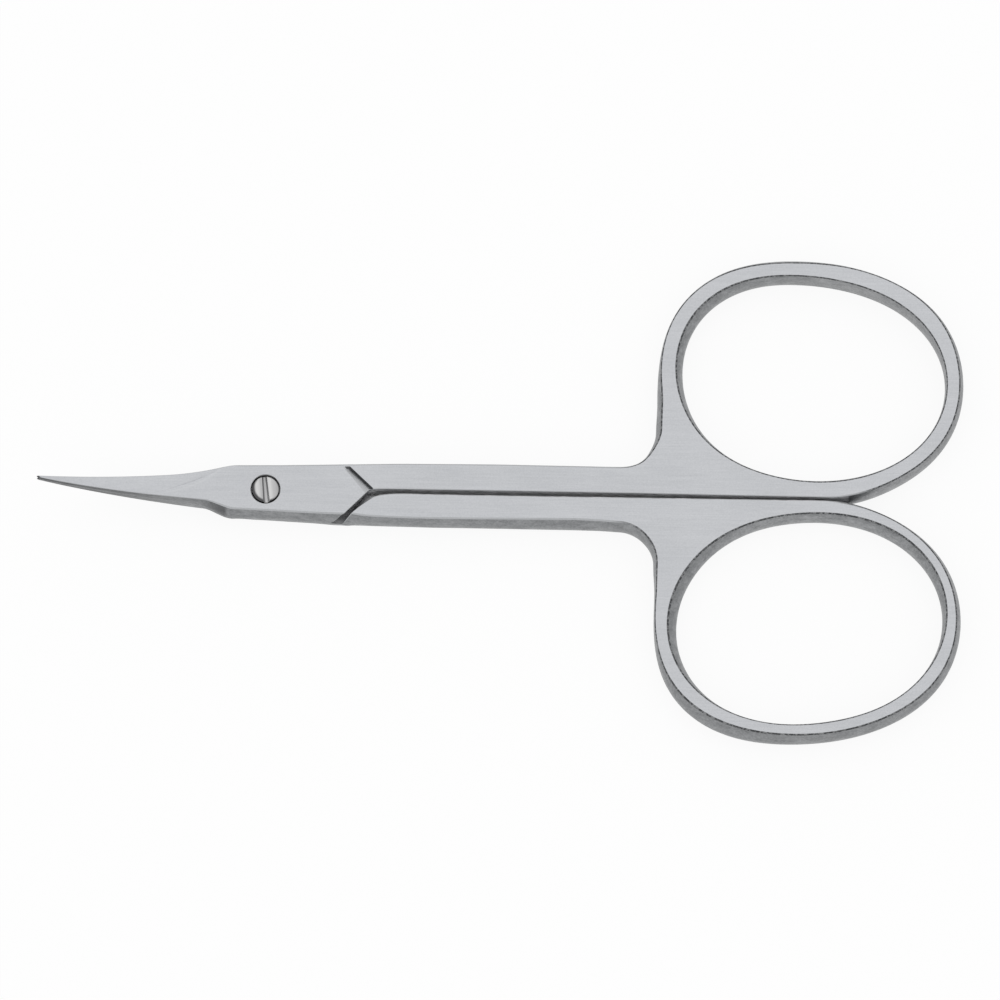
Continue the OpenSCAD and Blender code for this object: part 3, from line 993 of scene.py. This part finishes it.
slotSteel = {
    "light": (0.66, 0.66, 0.665),
    "dark": (0.13, 0.13, 0.134),
    "across": [(0.0, 1.0), (0.16, 0.9), (0.3, 0.3), (0.8, 0.15), (0.92, 0.3), (1.0, 0.3)],
    "acrossShare": 0.75,
    "acrossWander": 0.08,
    "reach": 1.3,
    "reachWander": 0.8,
    "roughness": 0.42,
    "sawRoughness": 0.1,
    "sawPerMetre": 5200,
}


def makeSlotSteel():
    # the sawn floor and sides of the slot, with painted shade: dark along its -x side and darker towards
    # its +Y end
    d = slotSteel
    material, place = newMaterial("slotSteel")
    turned = turnedPlace(place)
    saw = noise(turned, d["sawPerMetre"], (1, 0.2, 1), 3.0)
    half = screw["slotWidth"] / 2
    # painted shade in the slot
    across = ramp(span(wander(axisOf(turned, 0), saw, d["acrossWander"]), -half, half), d["across"])
    along = span(wander(axisOf(turned, 1), saw, d["reachWander"]), -d["reach"], d["reach"])
    tone = across * d["acrossShare"] + along * (1 - d["acrossShare"])
    return dress(material, {
        "Base Color": tone.mixColour(d["light"], d["dark"]),
        "Roughness": d["roughness"] + saw * d["sawRoughness"],
        "Metallic": 1.0,
    })


steels = [makeGroundSteel(), makeTumbledSteelShaded(), makeBrokenEdge(), makeCreviceSteel(), makeGrooveBank(),
          makeGrooveRootShadow()]
screwSteels = [makeScrewSteel(), makeSlotSteel()]
print("materials made")

# the screw

c = screw["chamfer"]
threadR, journalR, headR = screw["threadRadius"], screw["journalRadius"], screw["headRadius"]
journalLow, headLow, headTop = screw["journalLow"], screw["headLow"], screw["headTop"]
shankR = threadR - screw["threadPlay"]
screwMesh = revolved("screwBlank", [
    (0, 0), (threadR - 2 * c, 0), (threadR - c / 2, c), (shankR, 2 * c), (shankR, journalLow),
    (journalR, journalLow), (journalR, headLow), (headR - c, headLow), (headR, headLow + c),
    (headR, headTop - 1.3 * c), (headR - 0.3 * c, headTop - 0.45 * c), (headR - c, headTop - 0.1 * c),
    (headR - 2 * c, headTop), (0, headTop)], 0, screwSteels)

# the slot is a bar that widens towards -Y, with lips that flare at its top, turned like the streaks
w, floorZ = screw["slotWidth"] / 2, headTop - screw["slotDepth"]
lip, corner, flare = screw["slotLip"], screw["slotCorner"], screw["slotFlare"]
slotProfile = np.array([
    (-w + lip, floorZ), (w - screw["slotLean"], floorZ), (w - corner, floorZ + corner),
    (w, headTop - corner), (w + lip, headTop), (w + lip + flare, headTop + flare),
    (-w - lip - flare, headTop + flare), (-w - lip, headTop), (-w, headTop - corner), (-w, floorZ + lip)])
loop = np.vstack([slotProfile, slotProfile[:1]])
ends = np.array([-screw["slotReach"], screw["slotReach"]])
bar = np.stack([np.stack([loop[:, 0] * k, np.full(len(loop), y), loop[:, 1]], -1)
                for y, k in zip(ends, 1 - screw["slotWidens"] * ends)])
caps = [np.stack([rim, rim * 0 + [0, y, headTop - screw["slotDepth"] / 2]]) for rim, y in zip(bar, ends)]
turn = math.radians(screw["slotTurn"])
spin = np.array([[math.cos(turn), -math.sin(turn), 0], [math.sin(turn), math.cos(turn), 0], [0, 0, 1]])
slotMesh = closedMesh("slotCutter", [gridFaces(bar, 1), *[gridFaces(cap, 1) for cap in caps]],
                      lambda p: p @ spin.T, screwSteels)
screwMesh = cutAway(screwMesh, [slotMesh])
addPiece("pivotScrew", screwMesh, "lower_arm", ["pivot_screw"], 20)
print("screw made")

# the two halves, with the screw's holes cut out

seatR, seatLow, seatMouth = screw["seatRadius"], screw["seatLow"], screw["seatMouth"]
boreR, boreLow, boreTop = screw["boreRadius"], screw["boreLow"], screw["boreTop"]
mouth, below, flare = screw["threadMouth"], screw["threadBelow"], screw["seatFlare"]
headSeat = revolved("headSeat", [(0, seatLow), (seatR, seatLow), (seatR, seatMouth),
                                 (seatR + flare, seatMouth + flare), (0, seatMouth + flare)], 3, steels)
journalBore = revolved("journalBore", [(0, boreLow), (boreR, boreLow), (boreR, boreTop), (0, boreTop)],
                       3, steels)
threadBore = revolved("threadBore", [(0, -below), (threadR + mouth + below, -below), (threadR, mouth),
                                     (threadR, screw["threadTop"]), (0, screw["threadTop"])], 1, steels)

upperMesh = closedMesh("upperBlank", halfGrids(upperHalf), lambda p: p, steels)
upperMesh = cutAway(upperMesh, [headSeat, journalBore])
addFacetHighlight(upperMesh, upperHalf, lambda p: p)
addPiece("upperHalf", upperMesh, "upper_arm", ["upper_half"])

flip = np.array([1, -1, -1])
lift = np.array([0, 0, forging["thickness"]])
lowerMesh = closedMesh("lowerBlank", halfGrids(lowerHalf), lambda p: p * flip + lift, steels)
lowerMesh = cutAway(lowerMesh, [threadBore])
addFacetHighlight(lowerMesh, lowerHalf, lambda p: (p - lift) * flip)
addPiece("lowerHalf", lowerMesh, "lower_arm", ["lower_half"])
print("halves made")

# floor, light and camera

studio = {
    "floorColour": 0.95,
    "floorSpeckle": 0.006,
    "specklePerMetre": 900,
    "floorRoughness": 0.9,
    "floorWhite": 0.9,  # share of plain white in what the camera and the metal see of the floor
    "floorReach": 3.0,
    "floorZ": -0.00002,
    "skyStrength": 0.93,
    "lampAim": (0.02, 0, 0),
    # azimuth, elevation, distance, size and power
    "lamps": {"overheadLamp": (160, 62, 1.2, 0.9, 0.22), "frontLamp": (-25, 40, 1.2, 0.8, 0.14)},
    "elevation": 74.0,
    "roll": 0.95,
    "target": (22.76, -0.72, 3.2),
    "pictureWidth": 96.98,
    "distance": 2.0,
    "sensorWidth": 36,
    "clipEnd": 10,
}

r, z = studio["floorReach"], studio["floorZ"]
floorMesh = bpy.data.meshes.new("floor")
floorMesh.from_pydata([(-r, -r, z), (r, -r, z), (r, r, z), (-r, r, z)], [], [(0, 1, 2, 3)])
floor = bpy.data.objects.new("floor", floorMesh)
bpy.context.scene.collection.objects.link(floor)
paper, place = newMaterial("paleFloor")
tree = paper.node_tree
speckle = noise(place, studio["specklePerMetre"], (1, 1, 1), 2.0)
light, dark = studio["floorColour"], studio["floorColour"] - studio["floorSpeckle"]
dress(paper, {
    "Base Color": speckle.mixColour([light] * 3, [dark] * 3),
    "Roughness": studio["floorRoughness"],
    "Specular IOR Level": 0.0,
})
path = tree.nodes.new("ShaderNodeLightPath").outputs
rays = [Value(tree, path[f"Is {kind} Ray"]) for kind in ("Camera", "Glossy", "Transmission")]
white = Value(tree, tree.nodes.new("ShaderNodeEmission").outputs[0])
plain = Value(tree, tree.nodes["Principled BSDF"].outputs[0])
mixed = white.node("ShaderNodeMixShader", {},
                   {0: (rays[0] + rays[1] + rays[2]) * studio["floorWhite"], 1: plain, 2: white})
tree.links.new(mixed.socket, tree.nodes["Material Output"].inputs["Surface"])
floorMesh.materials.append(paper)

world = bpy.data.worlds.new("studio")
bpy.context.scene.world = world
world.use_nodes = True
sky = world.node_tree.nodes["Background"]
sky.inputs["Color"].default_value = (1, 1, 1, 1)
sky.inputs["Strength"].default_value = studio["skyStrength"]


def softLamp(name, azimuth, elevation, distance, size, power):
    # an area lamp that looks at the joint from that side
    a, e = math.radians(azimuth), math.radians(elevation)
    lamp = bpy.data.lights.new(name, "AREA")
    lamp.size, lamp.energy = size, power
    o = bpy.data.objects.new(name, lamp)
    away = Vector((math.sin(a) * math.cos(e), -math.cos(a) * math.cos(e), math.sin(e)))
    o.location = Vector(studio["lampAim"]) + away * distance
    o.rotation_euler = away.to_track_quat("Z", "Y").to_euler()
    bpy.context.scene.collection.objects.link(o)


for name, setting in studio["lamps"].items():
    softLamp(name, *setting)

bpy.context.scene.view_settings.view_transform = "Standard"
camera = bpy.data.objects.new("camera", bpy.data.cameras.new("camera"))
bpy.context.scene.collection.objects.link(camera)
e = math.radians(studio["elevation"])
back = Vector((0, -math.cos(e), math.sin(e)))
target = Vector(studio["target"]) * mm
look = back.to_track_quat("Z", "Y").to_matrix().to_4x4()
camera.matrix_world = (Matrix.Translation(target + back * studio["distance"]) @ look
                       @ Matrix.Rotation(math.radians(studio["roll"]), 4, "Z"))
camera.data.sensor_width = studio["sensorWidth"]
camera.data.lens = studio["sensorWidth"] * studio["distance"] / (studio["pictureWidth"] * mm)
camera.data.clip_end = studio["clipEnd"]
bpy.context.scene.camera = camera
print("studio made")
